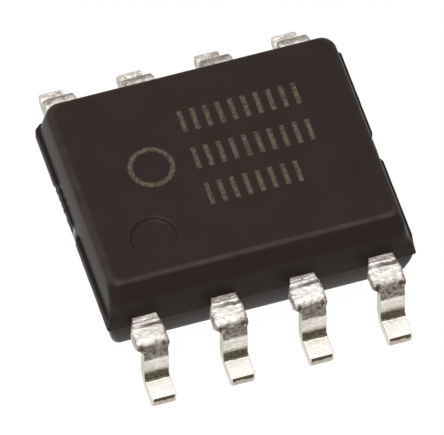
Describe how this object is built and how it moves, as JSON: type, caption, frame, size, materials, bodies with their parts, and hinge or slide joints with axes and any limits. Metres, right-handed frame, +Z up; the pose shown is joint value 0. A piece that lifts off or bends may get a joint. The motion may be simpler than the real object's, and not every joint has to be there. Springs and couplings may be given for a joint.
{
  "type": "small-outline integrated circuit",
  "caption": "Small black surface-mount chip: a bevelled resin body with an index dimple and two rows of bent tinned leads that solder flat to a board.",
  "frame": {"origin": "on the seating plane under the feet, under the middle of the body", "axes": "X along the body, Y across the two rows of leads, +Z up through the marked top face; lead 1 is at -X, -Y"},
  "size_m": [0.005, 0.006, 0.0015],
  "materials": {
    "resin": "moulded epoxy with a fine matte grain",
    "tinned_lead": "matte tin plating over copper alloy, scuffed where it was bent",
    "paddle_copper": "bare copper alloy",
    "attach_resin": "silver-filled adhesive",
    "silicon": "polished silicon",
    "bond_gold": "drawn gold wire"
  },
  "bodies": {
    "root": {"body": "resin", "die_paddle": "paddle_copper", "die_attach": "attach_resin", "die": "silicon", "lead_1": "tinned_lead", "lead_2": "tinned_lead", "lead_3": "tinned_lead", "lead_4": "tinned_lead", "lead_5": "tinned_lead", "lead_6": "tinned_lead", "lead_7": "tinned_lead", "lead_8": "tinned_lead", "bond_wire_1": "bond_gold", "bond_wire_2": "bond_gold", "bond_wire_3": "bond_gold", "bond_wire_4": "bond_gold", "bond_wire_5": "bond_gold", "bond_wire_6": "bond_gold", "bond_wire_7": "bond_gold", "bond_wire_8": "bond_gold"}
  },
  "joints": []
}
